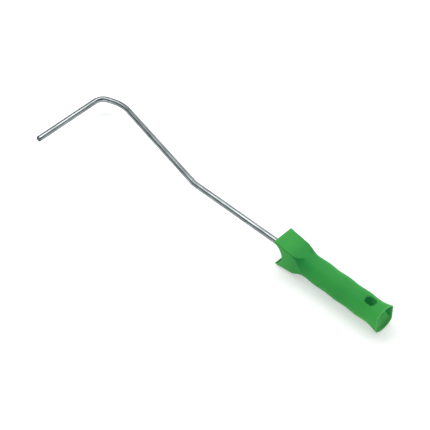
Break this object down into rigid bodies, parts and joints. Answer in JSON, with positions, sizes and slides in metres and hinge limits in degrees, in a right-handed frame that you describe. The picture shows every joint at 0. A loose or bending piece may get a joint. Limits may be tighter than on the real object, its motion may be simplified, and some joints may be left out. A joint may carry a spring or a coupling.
{
  "type": "paint roller frame",
  "caption": "Bare mini paint-roller frame: a bent round steel rod with a straight arm for a push-on sleeve, pressed into a hollow moulded plastic grip with a hanging hole.",
  "frame": {"origin": "where the rod's line through the handle crosses the centreline of the roller arm", "axes": "+X along the handle from the roller arm to the butt, -Y along the roller arm to its tip, +Z normal to the plane in which the rod is bent, on the side of the head's blunter lip"},
  "size_m": [0.4143, 0.0976, 0.0337],
  "materials": {
    "zinc_plated_steel": "bright zinc plate on drawn wire, with fine marks along the rod",
    "green_polypropylene": "satin moulded polypropylene, smooth, slightly brighter along its thin edges"
  },
  "bodies": {
    "root": {"wire_frame": "zinc_plated_steel", "handle": "green_polypropylene"}
  },
  "joints": []
}
